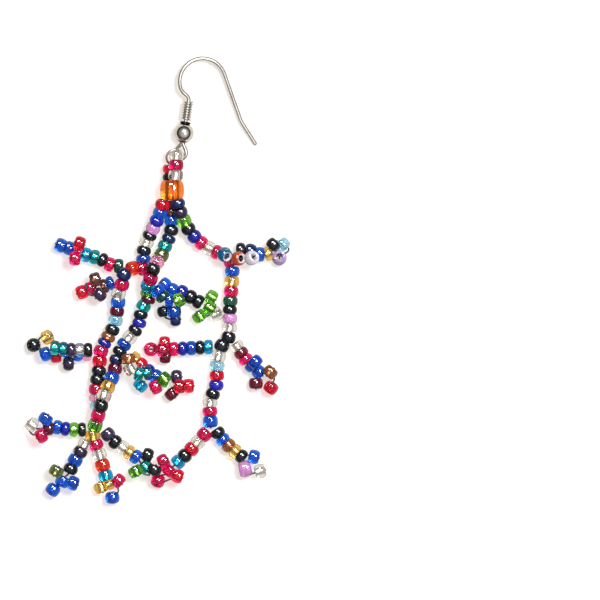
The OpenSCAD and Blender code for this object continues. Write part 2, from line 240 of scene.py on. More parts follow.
def metalMaterial(name, look):
    material, start = newMaterial(name)
    place = start.ownSpace()
    wear = place.noise(350.0, 4.0)
    scratch = place.noise(4000.0, 2.0)
    shade = wear.between(0.35, 0.7).blendColours(look["pale"], look["dark"])
    if "darkAtHoles" in look:
        # the ball's colour turns dark in a band around each of its two holes
        fromMiddle = start.add("ShaderNodeVectorMath", {"operation": "SUBTRACT"},
                               {0: place, 1: Vector(stem["ball"]) * mm})
        along = start.add("ShaderNodeVectorMath", {"operation": "DOT_PRODUCT"},
                          {0: fromMiddle, 1: stemMatrix.to_3x3() @ Vector((0, 1, 0))}, out="Value")
        edge = along.math("ABSOLUTE", along) + 0.0003 * (wear - 0.5)
        shade = edge.between(look["from"] * mm, look["to"] * mm).blendColours(shade, look["darkAtHoles"])
    bump = start.add("ShaderNodeBump", None, {"Strength": 0.06, "Distance": 0.00002, "Height": scratch})
    finishMaterial(start, start.add("ShaderNodeBsdfPrincipled", None, {
        "Base Color": shade, "Metallic": 1.0, "Roughness": look["polish"] + 0.06 * wear, "Normal": bump}))
    return material


glass = {name: glassMaterial(name, look) for name, look in glassColours.items()}
linings = {"silver": silverLining(), "amber": amberLining()}
thread = threadMaterial()

# The stem's own frame: +Y runs up the stem from the ball's middle.
stem = {"ball": (4.4, 24.8, 1.65), "lean": -8.5, "roll": 6.0}
stemMatrix = (Matrix.Translation(Vector(stem["ball"]) * mm)
              @ Matrix.Rotation(math.radians(stem["lean"]), 4, "Z")
              @ Matrix.Rotation(math.radians(stem["roll"]), 4, "Y"))
nickelLook = {"pale": (0.90, 0.87, 0.83), "dark": (0.74, 0.70, 0.64), "polish": 0.03}
nickel = metalMaterial("nickelPlate", nickelLook)
darkAtHolesLook = {"darkAtHoles": (0.05, 0.045, 0.045), "from": 1.25, "to": 1.45}
ballNickel = metalMaterial("nickelDarkAtHoles", {**nickelLook, **darkAtHolesLook})
print("earring: materials made,", len(glass), "colours of glass")


# Bead shapes

# The control cage's section from its widest point to the middle of the hole, in half widths
# across and half lengths along the hole. One step of subdivision rounds it.
beadShapes = {
    "roundBead": [(1.08, 0), (0.96, 0.72), (0.66, 1.14), (0.38, 0.80), (0.34, 0)],
    "squareBead": [(1.07, 0), (1.00, 0.78), (0.70, 1.14), (0.40, 0.84), (0.36, 0)],
}
beadSides = 10


def beadCage(name, corners):
    ring = corners + [(r, -z) for r, z in reversed(corners[1:-1])]
    points, faces = [], []
    for side in range(beadSides):
        turn = 2 * math.pi * side / beadSides
        points += [(r * math.cos(turn) / 2, r * math.sin(turn) / 2, z / 2) for r, z in ring]
    count = len(ring)
    for side in range(beadSides):
        here, there = side * count, (side + 1) % beadSides * count
        for i in range(count):
            j = (i + 1) % count
            faces.append((here + i, there + i, there + j, here + j))
    mesh = bpy.data.meshes.new(name)
    mesh.from_pydata(points, [], faces)
    mesh.shade_smooth()
    for region, rows in {"core": (3, 4), "ends": (2, 5)}.items():
        mesh.attributes.new(region, "BOOLEAN", "FACE").data.foreach_set(
            "value", [i in rows for side in range(beadSides) for i in range(count)])
    mesh.update()
    return bpy.data.objects.new(name, mesh)


shapeBox = bpy.data.collections.new("beadShapes")
for name in sorted(beadShapes):
    shapeBox.objects.link(beadCage(name, beadShapes[name]))


# A string of beads

# Steps of a route between two of its points, and of the coil in a turn.
curveSteps = 16
coilSteps = 24


def newTree(name, sockets):
    tree = bpy.data.node_groups.new(name, "GeometryNodeTree")
    tree.interface.new_socket("Geometry", in_out="OUTPUT", socket_type="NodeSocketGeometry")
    tree.interface.new_socket("Geometry", in_out="INPUT", socket_type="NodeSocketGeometry")
    keys = {}
    for label, kind in sockets.items():
        keys[label] = tree.interface.new_socket(label, in_out="INPUT", socket_type=kind).identifier
    inputs = tree.nodes.new("NodeGroupInput")
    given = {label: Wired(tree, inputs.outputs[label]) for label in ["Geometry", *sockets]}
    return tree, keys, given


def endTree(tree, geometry):
    Wired(tree).add("NodeGroupOutput", None, {0: geometry})


def smoothRoute(start, mesh):
    # a mesh's line of edges as a smooth curve through its points
    curve = start.add("GeometryNodeMeshToCurve", None, {"Mesh": mesh})
    curve = start.add("GeometryNodeCurveSplineType", {"spline_type": "CATMULL_ROM"}, {"Curve": curve})
    return start.add("GeometryNodeSetSplineResolution", None, {"Geometry": curve, "Resolution": curveSteps})


def tubeAlong(start, curve, given):
    section = start.add("GeometryNodeCurvePrimitiveCircle", {"mode": "RADIUS"}, {
        "Resolution": given["Sides"], "Radius": given["Thickness"] / 2})
    tube = start.add("GeometryNodeCurveToMesh", None, {
        "Curve": curve, "Profile Curve": section, "Fill Caps": True})
    return start.add("GeometryNodeRealizeInstances", None, {"Geometry": tube})


def beadStringTree():
    tree, keys, given = newTree("beadString", {
        "Route": "NodeSocketObject", "Shapes": "NodeSocketCollection", "Wobble": "NodeSocketFloat",
        "Uneven": "NodeSocketFloat", "Seed": "NodeSocketInt"})
    start = Wired(tree)

    def own(name, kind):
        return start.add("GeometryNodeInputNamedAttribute", {"data_type": kind}, {"Name": name})

    def chance(low, high, salt):
        return start.add("FunctionNodeRandomValue", {"data_type": "FLOAT"},
                         {2: low, 3: high, "Seed": given["Seed"] + salt}, out=1)

    routeMesh = start.add("GeometryNodeObjectInfo", None, {"Object": given["Route"]}, out="Geometry")
    curve = smoothRoute(start, routeMesh)
    sample = start.add("GeometryNodeSampleCurve", {"mode": "LENGTH"},
                       {"Curves": curve, "Length": own("station", "FLOAT")}, out="Position")
    tangent = Wired(tree, sample.socket.node.outputs["Tangent"])
    strung = own("strung", "BOOLEAN")
    points = start.add("GeometryNodeSetPosition", None, {
        "Geometry": given["Geometry"], "Selection": strung, "Position": sample})
    way = start.add("GeometryNodeSwitch", {"input_type": "VECTOR"},
                    {"Switch": strung, "False": own("way", "FLOAT_VECTOR"), "True": tangent})
    points = start.add("GeometryNodeStoreNamedAttribute", {"data_type": "FLOAT", "domain": "POINT"},
                       {"Geometry": points, "Name": "tone", "Value": chance(0.0, 1.0, 1)})
    turn = start.add("FunctionNodeAlignRotationToVector", {"axis": "Z"}, {"Vector": way})
    lean = start.add("ShaderNodeCombineXYZ", None, {
        "X": chance(-1.0, 1.0, 2) * given["Wobble"], "Y": chance(-1.0, 1.0, 3) * given["Wobble"],
        "Z": chance(0.0, 2 * math.pi, 4)})
    lean = start.add("FunctionNodeEulerToRotation", None, {"Euler": lean})
    turn = start.add("FunctionNodeRotateRotation", {"rotation_space": "LOCAL"},
                     {"Rotation": turn, "Rotate By": lean})
    wide = own("wide", "FLOAT") * (1.0 - chance(0.0, 1.0, 5) * given["Uneven"])
    size = start.add("ShaderNodeCombineXYZ", None, {"X": wide, "Y": wide, "Z": own("long", "FLOAT")})
    shapes = start.add("GeometryNodeCollectionInfo", None, {
        "Collection": given["Shapes"], "Separate Children": True, "Reset Children": True})
    beads = start.add("GeometryNodeInstanceOnPoints", None, {
        "Points": points, "Instance": shapes, "Pick Instance": True,
        "Instance Index": own("shape", "INT"), "Rotation": turn, "Scale": size})
    beads = start.add("GeometryNodeRealizeInstances", None, {"Geometry": beads})
    # side: 1 where the surface faces sideways, 0 where it faces up or down; it masks the painted shade at
    # the glass's rim
    normal = start.add("GeometryNodeInputNormal")
    up = normal.axis("Z")
    beads = start.add("GeometryNodeStoreNamedAttribute", {"data_type": "FLOAT", "domain": "POINT"},
                      {"Geometry": beads, "Name": "side", "Value": 1.0 - up.math("ABSOLUTE", up)})
    colour = own("colour", "INT")
    for number, name in enumerate(colourNames):
        mine = start.add("FunctionNodeCompare", {"data_type": "INT", "operation": "EQUAL"},
                         {2: colour, 3: number})
        beads = start.add("GeometryNodeSetMaterial", None, {
            "Geometry": beads, "Selection": mine, "Material": glass[name]})
        for region in ("core", "ends"):
            other = glassColours[name].get(region)
            if other:
                both = start.add("FunctionNodeBooleanMath", {"operation": "AND"},
                                 {0: mine, 1: own(region, "BOOLEAN")})
                beads = start.add("GeometryNodeSetMaterial", None, {
                    "Geometry": beads, "Selection": both, "Material": linings.get(other) or glass[other]})
    endTree(tree, beads)
    return tree, keys


def threadTree():
    tree, keys, given = newTree("threadRun", {
        "Thickness": "NodeSocketFloat", "Step": "NodeSocketFloat", "Sides": "NodeSocketInt"})
    start = Wired(tree)
    curve = smoothRoute(start, given["Geometry"])
    curve = start.add("GeometryNodeResampleCurve", {"mode": "LENGTH"},
                      {"Curve": curve, "Length": given["Step"]})
    tube = tubeAlong(start, curve, given)
    tube = start.add("GeometryNodeSetMaterial", None, {"Geometry": tube, "Material": thread})
    endTree(tree, tube)
    return tree, keys


def coilTree():
    tree, keys, given = newTree("wireCoil", {
        "Turns": "NodeSocketFloat", "Radius": "NodeSocketFloat", "Height": "NodeSocketFloat",
        "Thickness": "NodeSocketFloat", "Sides": "NodeSocketInt"})
    start = Wired(tree)
    spiral = start.add("GeometryNodeCurveSpiral", None, {
        "Resolution": coilSteps, "Rotations": given["Turns"], "Start Radius": given["Radius"],
        "End Radius": given["Radius"], "Height": given["Height"]})
    tube = tubeAlong(start, spiral, given)
    tube = start.add("GeometryNodeSetShadeSmooth", None, {"Geometry": tube})
    tube = start.add("GeometryNodeSetMaterial", None, {"Geometry": tube, "Material": nickel})
    endTree(tree, tube)
    return tree, keys


def lineMesh(name, runs):
    points, edges = [], []
    for run in runs:
        first = len(points)
        points += [Vector(p) * mm for p in run]
        edges += [(first + i, first + i + 1) for i in range(len(run) - 1)]
    mesh = bpy.data.meshes.new(name)
    mesh.from_pydata(points, edges, [])
    return bpy.data.objects.new(name, mesh)


def bake(piece, name):
    # the evaluated object becomes a plain mesh, with only the materials that its faces wear
    made = bpy.data.meshes.new_from_object(piece.evaluated_get(bpy.context.evaluated_depsgraph_get()))
    piece.modifiers.clear()
    old = piece.data
    worn = sorted({face.material_index for face in made.polygons})
    kept = [made.materials[i] for i in worn]
    indices = [worn.index(face.material_index) for face in made.polygons]
    made.materials.clear()
    for material in kept:
        made.materials.append(material)
    made.polygons.foreach_set("material_index", indices)
    made.name = name
    piece.data = made
    bpy.data.meshes.remove(old)
    return piece


def holeWay(turn, rise):
    turn, rise = math.radians(turn), math.radians(rise)
    return Vector((math.cos(turn) * math.cos(rise), math.sin(turn) * math.cos(rise), math.sin(rise)))


beadTree, beadKeys = beadStringTree()
threadRun, threadKeys = threadTree()
coilRun, coilKeys = coilTree()
# The beads are a little wider than the part's tubes, so they lie a little higher. "top" keeps them
# under its highest point, and "low" and "tipLow" above the table.
beadFit = {"wide": 2.58, "tipWide": 2.5, "tipLong": 1.74, "wobble": 0.05, "uneven": 0.03,
           "lift": 0.08, "top": 4.73, "low": 0.03, "tipLow": 0.02}


# Lengths of the strung beads

# usual: a seed bead's length in mm, and pull: how strongly each length keeps to it.
stringFit = {"perSpan": 40, "ahead": 0.5, "usual": 1.55, "pull": 0.35, "shortest": 1.2, "longest": 1.9,
             "step": 0.1, "startStep": 0.05}


def fromPhoto(across, down):
    # a place read in the photograph's pixels, in mm
    scale, half = photo["wide"] / photo["pixels"], photo["pixels"] / 2
    return photo["middle"][0] + (across - half) * scale, photo["middle"][1] + (half - down) * scale


def smoothCurve(route):
    # points along the curve that the bead tree draws through the route
    route = np.array(route)
    points = np.vstack([2 * route[0] - route[1], route, 2 * route[-1] - route[-2]])
    t = np.linspace(0, 1, stringFit["perSpan"], endpoint=False)[:, None]
    spans = [(2 * b + (c - a) * t + (2 * a - 5 * b + 4 * c - d) * t ** 2
              + (3 * b - a - 3 * c + d) * t ** 3) / 2
             for a, b, c, d in zip(points, points[1:], points[2:], points[3:])]
    return np.vstack([*spans, route[-1:]])


def fittedLengths(route, middles):
    # the lengths that put the beads' middles nearest to where they were read, in whole steps
    curve = smoothCurve(route)
    along = np.concatenate([[0], np.cumsum(np.linalg.norm(np.diff(curve, axis=0), axis=1))])
    wanted, least = [], -1.0
    for x, y in middles:
        away = np.hypot(curve[:, 0] - x, curve[:, 1] - y)
        wanted.append(along[np.argmin(np.where(along > least, away, np.inf))])
        least = wanted[-1] + stringFit["ahead"]
    # a middle lies at the start, plus the beads before it, plus half of its own
    count, pull = len(middles), stringFit["pull"]
    sums = np.hstack([np.ones((count, 1)), np.tri(count, k=-1) + np.eye(count) / 2])
    pulls = np.hstack([np.zeros((count, 1)), pull * np.eye(count)])
    goals = wanted + [pull * stringFit["usual"]] * count
    start, *lengths = np.linalg.lstsq(np.vstack([sums, pulls]), np.array(goals), rcond=None)[0]
    placed, kept = round(start / stringFit["startStep"]) * stringFit["startStep"], []
    for end in start + np.cumsum(lengths):
        long = round((end - placed) / stringFit["step"]) * stringFit["step"]
        long = min(max(long, stringFit["shortest"]), stringFit["longest"])
        placed += long
        kept.append(round(long, 1))
    return kept


def stringBeads(look, route, words):
    # Each bead's colour and length. A bead that names its length has that one.
    beads = [(word.split()[0], [float(number) for number in word.split()[1:]]) for word in words.split(",")]
    lengths = [numbers[-1] for colour, numbers in beads]
    if all(len(numbers) > 1 for colour, numbers in beads):
        middles = [numbers[:2] for colour, numbers in beads]
        if look.get("inPixels"):
            middles = [fromPhoto(*middle) for middle in middles]
        lengths = [numbers[2] if len(numbers) > 2 else fitted
                   for (colour, numbers), fitted in zip(beads, fittedLengths(route, middles))]
    return [(colour, long) for (colour, numbers), long in zip(beads, lengths)]


def strungRows(look, route, start, words):
    # a string's beads, each in its place along the route
    rows, station = [], start
    for colour, long in stringBeads(look, route, words):
        rows.append(dict(at=(0, 0, 0), strung=True, station=(station + long / 2) * mm, way=(0, 0, 1),
                         wide=beadFit["wide"] * mm, long=long * mm, colour=colour))
        station += long
    return rows


def tipRows(look):
    # the loose beads of a cluster, each where it lies
    wide, long = look.get("size", (beadFit["tipWide"], beadFit["tipLong"]))
    rows = []
    for colour, x, y, z, turn, rise, *larger in look.get("tips", []):
        across, along = [size * (larger or [1.0])[0] for size in (wide, long)]
        # a bead that stands up or leans keeps clear of the table and of the top of the part
        half = 0.5 * (across * math.cos(math.radians(rise)) + along * math.sin(math.radians(rise)))
        z = max(min(z, beadFit["top"] - half), half + beadFit["tipLow"])
        rows.append(dict(at=Vector((x, y, z)) * mm, strung=False, station=0.0, way=holeWay(turn, rise),
                         wide=across * mm, long=along * mm, colour=colour))
    return rows


def beadPoints(name, rows):
    # every bead is one point, with what the tree needs to know about it
    mesh = bpy.data.meshes.new(name)
    mesh.from_pydata([row["at"] for row in rows], [], [])

    def give(key, kind, values, field="value"):
        mesh.attributes.new(key, kind, "POINT").data.foreach_set(field, values)

    for key, kind in {"strung": "BOOLEAN", "station": "FLOAT", "wide": "FLOAT", "long": "FLOAT"}.items():
        give(key, kind, [row[key] for row in rows])
    give("way", "FLOAT_VECTOR", [c for row in rows for c in row["way"]], "vector")
    give("colour", "INT", [colourNames.index(row["colour"]) for row in rows])
    shapeNames = sorted(beadShapes)
    shapes = ["roundBead" if glassColours[row["colour"]].get("round") else "squareBead" for row in rows]
    give("shape", "INT", [shapeNames.index(shape) for shape in shapes])
    piece = bpy.data.objects.new(name, mesh)
    bpy.context.scene.collection.objects.link(piece)
    return piece


def beadRun(name, rows, route, seed):
    # one string and the loose beads that go with it
    piece = beadPoints(name, rows)
    low, high = 0.5 * beadFit["wide"] + beadFit["low"], beadFit["top"] - 0.5 * beadFit["wide"]
    raised = [(x, y, max(min(z + beadFit["lift"], high), low)) for x, y, z in route]
    path = lineMesh("route", [raised])
    modifier = piece.modifiers.new("beads", "NODES")
    modifier.node_group = beadTree
    for label, value in {"Route": path, "Shapes": shapeBox, "Wobble": beadFit["wobble"],
                         "Uneven": beadFit["uneven"], "Seed": seed}.items():
        modifier[beadKeys[label]] = value
    bake(piece, name)
    bpy.data.objects.remove(path)
    return piece


# The tree needs a route, also for loose beads with no string.
anyRoute = [(0, 0, 0), (1, 0, 0)]


def beadPiece(name, look, seed):
    strings = look.get("strings", [])
    routes = [route for route, start, words in strings] or [anyRoute]
    groups = [strungRows(look, *string) for string in strings] or [[]]
    groups[-1] += tipRows(look)
    pieces = [beadRun(name, rows, route, seed * 10 + part)
              for part, (rows, route) in enumerate(zip(groups, routes))]
    piece = pieces[0]
    if len(pieces) > 1:
        with bpy.context.temp_override(active_object=piece, selected_editable_objects=pieces):
            bpy.ops.object.join()
    smooth = piece.modifiers.new("round", "SUBSURF")
    smooth.levels = smooth.render_levels = 1
    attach(piece, "root")
    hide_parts(look["node"])
    return piece


# A route is that of the part's own tube, or starts nearer its strand, and the number after it is where
# the first bead begins along it. A strung bead is its colour and where its middle was read in the
# photograph, in mm or, where a strand says so, in pixels, then its length in mm if that is given.
# The string that gives no middles has lengths alone.
# A tip bead is its colour, x, y, z, the turn of its hole from +X, its rise, and how many times larger
# it is than the others, if it is.
strands = {
    "leftStrand": {
        "node": "left_strand", "slot": "red_glass", "inPixels": True,
        "strings": [(
            [(1.0, 13.4, 3.25), (0.4, 11.3, 2.7), (-1.3, 7.7, 1.3), (-2.3, 5.0, 1.2), (-2.4, 2.4, 1.6),
             (-4.3, 2.2, 2.7), (-5.7, 1.0, 3.1), (-5.9, -0.6, 3.1), (-6.5, -2.2, 2.3), (-6.6, -4.0, 1.3),
             (-7.3, -7.5, 1.2), (-9.3, -11.2, 1.4), (-9.7, -14.5, 1.15), (-10.2, -17.8, 1.15),
             (-10.0, -20.8, 1.15)], -0.2,
            "red 163 205, blue 160.5 213, royal 157 220.5, lilac 153 228.5, black 150 236,"
            "clear 147 242.5, black 144.5 250.5, blue 143 259.5, rose 143.5 268, orangeRed 132.5 268,"
            "navy 124 275.5, rose 122 284.4, clear 118.2 293.3, blue 119.2 302.3, maroon 115.7 311,"
            "paleBlue 114.2 319.8, black 113.3 330, copper 108.8 337, royal 105 343, rose 100.2 350.5,"
            "red 99.2 361.2, black 97.3 370.5, black 98 379.7, rose 95.1 389.3, pink 97 398,"
            "paleBlue 97.5 405")]},
    "leftBranch1": {
        "node": "left_branch_1", "slot": "red_glass",
        "strings": [(
            [(-5.9, 2.6, 1.15), (-7.9, 2.9, 1.15), (-9.6, 3.9, 1.15), (-12.4, 4.65, 1.15)], -0.2,
            "deepGreen -6.4 2.75, rose -7.8 2.95, black -9.15 3.7, teal -10.3 4.3, cyan -11.8 4.6 1.6")],
        "tips": [("red", -12.9, 6.4, 2.9, -20, 0), ("pink", -13.2, 5.1, 1.15, -20, 0),
                 ("rose", -13.7, 3.9, 2.95, -5, 0), ("blue", -14.65, 5.6, 1.15, -20, 0),
                 ("blue", -16.1, 6.1, 1.15, -20, 0)]},
    "leftBranch2": {
        "node": "left_branch_2", "slot": "dark_glass",
        "strings": [([(-7.3, 0.0, 1.15), (-9.1, -0.8, 1.15)], -0.1, "blue -7.9 -0.2, brown -8.8 -0.6")],
        "tips": [("brown", -10.3, 0.4, 2.7, 15, 0), ("rose", -11.1, -1.1, 1.15, 20, 0),
                 ("purple", -9.6, -2.1, 2.9, 45, 0), ("red", -12.6, -1.7, 1.15, 20, 0)]},
    "leftBranch3": {
        "node": "left_branch_3", "slot": "teal_glass",
        "strings": [(
            [(-10.9, -11.3, 3.5), (-14.3, -11.3, 3.5), (-17.4, -10.9, 3.4)], -0.1,
            "black -11.5 -11.4, clear -12.9 -11.3, purple -14.3 -11.4, teal -15.6 -11.2, teal -16.9 -10.9")],
        "tips": [("gold", -18.3, -9.2, 2.1, 20, 10), ("blue", -18.6, -12.0, 1.9, 20, 0),
                 ("black", -20.6, -10.5, 1.25, 185, 30)]},
    "leftBranch4": {
        "node": "left_branch_4", "slot": "dark_glass",
        "strings": [(
            [(-11.0, -12.0, 1.15), (-14.0, -12.0, 1.15)], 0.0,
            "pink -11.8 -12, blue -13.3 -11.9")],
        "tips": [("purple", -14.8, -13.6, 1.15, 0, 0), ("blue", -15.3, -11.4, 1.15, 0, 0),
                 ("red", -16.9, -12.3, 1.15, 0, 0)]},
    "middleStrand": {
        "node": "middle_strand", "slot": "blue_glass", "inPixels": True,
        "strings": [(
            [(2.2, 13.4, 1.15), (2.3, 8.6, 1.15), (1.2, 5.8, 1.2), (0.5, 4.1, 1.7), (-0.6, 2.4, 3.4),
             (-1.1, 0.6, 3.4), (-1.7, -1.2, 1.8), (-1.5, -2.8, 1.2), (-2.6, -4.6, 1.15),
             (-3.2, -7.3, 1.15), (-5.6, -10.5, 1.15), (-6.7, -12.6, 1.15), (-7.2, -15.0, 1.3),
             (-8.8, -18.8, 3.3), (-9.3, -20.5, 3.6), (-10.3, -23.7, 1.9), (-10.8, -25.4, 1.3),
             (-9.8, -28.3, 1.2), (-8.5, -32.6, 1.15)], -0.1,
            "brown 170.5 205, brown 170.5 212, blue 170.5 220.5, black 171 231, navy 167.5 238,"
            "teal 165 246, olive 162 255, pink 156.5 262, black 154.5 269.5, rose 151 278.3, cyan 149 286,"
            "green 148.5 292, maroon 149 298, teal 143.1 305.7, black 141.2 314, royal 139.9 322.9,"
            "black 135 329, clear 129.5 336.4, blue 124.5 343.7, black 120 351, navy 117 359,"
            "maroon 115.5 368.2, blue 111.7 377.2, gold 107.5 386.7, clear 104.2 395.3, black 102 404.9,"
            "rose 98.8 414.4, green 95.9 424, gold 92.8 434.2, rose 96.6 443.1, clear 98.8 453,"
            "orangeRed 103.3 463.5, cyan 105.6 474.5")]},
    "middleTip": {
        "node": "middle_tip", "slot": "amber_glass", "hub": (-8.5, -32.6, 1.15),
        "tips": [("gold", -9.4, -34.2, 1.15, 110, 0), ("rose", -6.5, -33.1, 1.15, -45, 0),
                 ("gold", -7.95, -33.65, 1.15, 20, 0, 0.8), ("blue", -7.5, -35.9, 1.3, -85, 12)]},
    "middleBranch1": {
        "node": "middle_branch_1", "slot": "blue_glass",
        "strings": [(
            [(-0.1, -1.2, 3.7), (1.3, -2.8, 3.1), (2.4, -3.0, 3.1)], -0.4,
            "blue 0.2 -1.3, deepGreen 0.9 -2.2, blue 1.8 -2.9")],
        "tips": [("green", 3.6, -3.0, 3.1, 20, 0), ("black", 1.1, -4.9, 1.15, 100, 0),
                 ("blue", 2.8, -5.0, 3.15, 90, 0), ("navy", 3.0, -6.2, 1.15, 0, 0)]},
    "middleBranch2": {
        "node": "middle_branch_2", "slot": "blue_glass",
        "strings": [(
            [(0.6, 0.0, 1.5), (2.4, -1.3, 1.15), (4.1, -1.7, 1.15), (7.2, -3.5, 1.15)], -0.1,
            "blue 1.2 -0.35, blue 2.5 -1.25, royal 4.1 -1.6, black 5.55 -2.6, black 6.75 -3.3")],
        "tips": [("green", 9.0, -2.5, 1.15, -30, 0), ("green", 8.7, -4.3, 2.8, -30, 0),
                 ("green", 7.0, -5.7, 1.15, -55, 0), ("clear", 9.8, -5.3, 1.15, 20, 0)]},
    "middleBranch3": {
        "node": "middle_branch_3", "slot": "teal_glass",
        "strings": [(
            [(-4.9, -12.2, 3.55), (-4.4, -14.4, 3.55), (-3.0, -15.3, 3.55), (-1.0, -15.0, 3.55)], -0.2,
            "copper -4.8 -12.8, clear -4.3 -14.4, teal -3 -15.3, teal -1.6 -15.1")],
        "tips": [("green", 1.1, -16.1, 3.6, -45, 0), ("cyan", -2.8, -17.2, 1.3, 45, 0),
                 ("rose", -0.3, -17.5, 2.8, 30, 0)]},
    "middleBranch4": {
        "node": "middle_branch_4", "slot": "red_glass",
        "strings": [(
            [(-4.4, -12.3, 1.15), (-2.6, -13.9, 1.15), (-0.3, -15.7, 1.15), (1.8, -16.6, 1.15)], -0.1,
            "gold -3.9 -12.7, red -2.8 -13.7, royal -1.5 -14.7, blue -0.2 -15.6, green 1.2 -16.3")],
        "tips": [("purple", 3.2, -15.8, 1.15, 0, 0), ("red", 3.7, -17.4, 2.8, 0, 0),
                 ("maroon", 2.4, -18.6, 1.15, -50, 0), ("red", 5.2, -17.3, 1.15, 0, 0)]},
    "rightStrand": {
        "node": "right_strand", "slot": "blue_glass", "inPixels": True,
        "strings": [(
            [(3.4, 13.4, 3.3), (3.8, 11.7, 3.0), (5.2, 8.8, 1.7), (7.3, 6.5, 1.15), (10.0, 4.9, 1.15),
             (11.6, 4.4, 1.15), (12.4, 2.6, 1.15), (12.4, 0.1, 1.15), (12.1, -4.0, 1.15),
             (11.9, -9.0, 1.15), (10.7, -10.7, 1.15), (10.0, -13.5, 1.15), (9.8, -17.2, 1.15),
             (8.8, -20.0, 1.15), (8.9, -24.4, 1.15)], -0.4,
            "navy 177 204, purple 180.5 212, green 183 221, black 188.5 229, royal 194 237,"
            "rose 201.5 243, clear 208.5 248.5, rose 217 252, teal 224.5 254, rose 229 262,"
            "blue 232.2 271.4, gold 232.2 281.6, rose 231.3 291.8, deepGreen 230.2 301.5,"
            "black 230.5 309.8, lilac 230.8 318.4, clear 229.5 327.6, black 229.2 337.2, black 222 346,"
            "clear 218 356.5, paleBlue 217.7 365.6, red 216.8 375.5, royal 216.1 385.3, black 213 394.2,"
            "clear 210 403 1.4, rose 210.6 411.8 1.5, blue 211 421.5 1.9")]},
    "rightBranch1": {
        "node": "right_branch_1", "slot": "blue_glass",
        "strings": [(
            [(13.2, 5.4, 1.15), (15.4, 5.2, 1.15), (17.1, 4.6, 1.15), (18.7, 4.8, 1.15)], -0.1,
            "black 13.8 5.4, navy 15.4 5.3, blue 17.1 4.6, gold 18.4 4.8")],
        "tips": [("black", 19.3, 6.2, 2.8, 45, 0), ("paleBlue", 20.88, 6.2, 1.3, -50, 0),
                 ("mauve", 20.3, 4.0, 1.15, 80, 65)]},
    "rightBranch2": {
        "node": "right_branch_2", "slot": "clear_glass",
        "tips": [("aqua", 11.2, 4.5, 3.5, -30, 50), ("coral", 13.5, 3.9, 3.5, 0, 50),
                 ("pearl", 15.7, 4.0, 3.5, 30, 50)]},
    "rightBranch3": {
        "node": "right_branch_3", "slot": "blue_glass",
        "strings": [(
            [(9.0, -10.8, 1.15), (5.7, -11.0, 1.15), (2.1, -11.2, 1.15)], -0.2,
            "cyan 8.55 -10.85, black 7.15 -11, blue 5.7 -11, royal 4.3 -11.1, rose 2.8 -11.2")],
        "tips": [("red", 1.2, -10.2, 1.15, 0, 0), ("rose", 0.9, -11.3, 3.1, 0, 0),
                 ("maroon", 1.3, -12.4, 1.15, 0, 0), ("rose", -1.1, -11.2, 1.15, 0, 70)]},
    "rightBranch4": {
        "node": "right_branch_4", "slot": "blue_glass",
        "strings": [(
            [(13.0, -10.4, 1.15), (14.8, -13.0, 1.15), (16.0, -14.2, 1.15)], -0.3,
            "clear 13.2 -10.8, maroon 13.95 -11.8, rose 14.75 -12.9, blue 15.6 -13.9")],
        "tips": [("blue", 16.3, -13.3, 3.2, -45, 0), ("blue", 16.9, -15.0, 1.15, -45, 0),
                 ("copper", 18.8, -15.0, 2.7, 45, 0), ("maroon", 16.4, -16.9, 1.15, 90, 0),
                 ("red", 18.9, -17.6, 1.15, 55, 15)]},
    "rightBranch5": {
        "node": "right_branch_5", "slot": "red_glass",
        "strings": [(
            [(8.35, -24.8, 1.15), (5.7, -27.8, 1.15), (2.9, -30.5, 1.15)], -0.1,
            "rose 7.7 -25.5 1.8, clear 6.7 -26.6 1.5, red 5.75 -27.7, black 4.6 -29 1.6, cyan 3.35 -30.1")],
        "tips": [("rose", 1.9, -31.4, 1.15, 45, 0), ("rose", 1.0, -29.8, 2.7, 30, 0),
                 ("red", 3.4, -32.3, 2.6, -20, 0), ("rose", 0.1, -33.1, 1.2, -110, 25)]},
    "rightBranch6": {
        "node": "right_branch_6", "slot": "dark_glass",
        "strings": [(
            [(9.75, -24.65, 1.15), (11.4, -26.8, 1.15), (14.6, -29.5, 1.15)], -0.2,
            "black 10.3 -25.3 1.5, blue 11 -26.3, copper 12.1 -27.3, gold 13.05 -28.2,"
            "black 14.1 -29.1 1.5")],
        "tips": [("blue", 16.1, -29.1, 2.4, -15, 0), ("lilac", 14.6, -31.1, 1.15, 15, 0, 1.16),
                 ("clear", 17.1, -31.5, 1.15, 15, 0)]},
    "footBranch1": {
        "node": "foot_branch_1", "slot": "blue_glass",
        "strings": [(
            [(-12.2, -24.6, 1.15), (-14.9, -24.5, 1.15), (-17.1, -24.1, 1.15)], -0.3,
            "black -12.6 -24.6, green -13.85 -24.5, royal -15.3 -24.5, blue -16.6 -24.2")],
        "tips": [("maroon", -18.2, -24.4, 1.15, 0, 0), ("blue", -18.6, -22.8, 2.7, 60, 0),
                 ("rose", -19.3, -25.6, 2.6, 30, 0), ("clear", -20.85, -23.8, 1.15, -40, 0)]},
    "footBranch2": {
        "node": "foot_branch_2", "slot": "blue_glass",
        "strings": [(
            [(-11.7, -26.4, 1.15), (-12.3, -27.5, 1.15), (-13.7, -29.7, 1.15), (-14.9, -32.1, 1.15)], -0.1,
            "clear 1.5, purple 1.6, blue 1.7, black 1.6")],
        "tips": [("olive", -16.8, -31.5, 2.4, 60, 0), ("blue", -15.8, -33.2, 1.15, 60, 0),
                 ("blue", -14.0, -33.5, 2.4, -20, 0), ("blue", -17.4, -34.6, 1.2, -125, 10)]},
    "footBranch3": {
        "node": "foot_branch_3", "slot": "dark_glass",
        "strings": [(
            [(-8.75, -24.7, 1.15), (-7.1, -26.6, 1.15), (-3.3, -29.3, 1.15)], -0.1,
            "purple -8.1 -25.6 1.9, black -7.1 -26.6, clear -5.7 -27.6, gold -4.65 -28.3, blue -3.6 -29.1")],
        "tips": [("black", -1.6, -28.8, 2.4, -20, 0), ("teal", -2.1, -30.8, 1.15, -45, 0),
                 ("green", -3.6, -31.5, 2.7, -60, 0), ("black", -0.5, -31.3, 2.7, 70, 0)]},
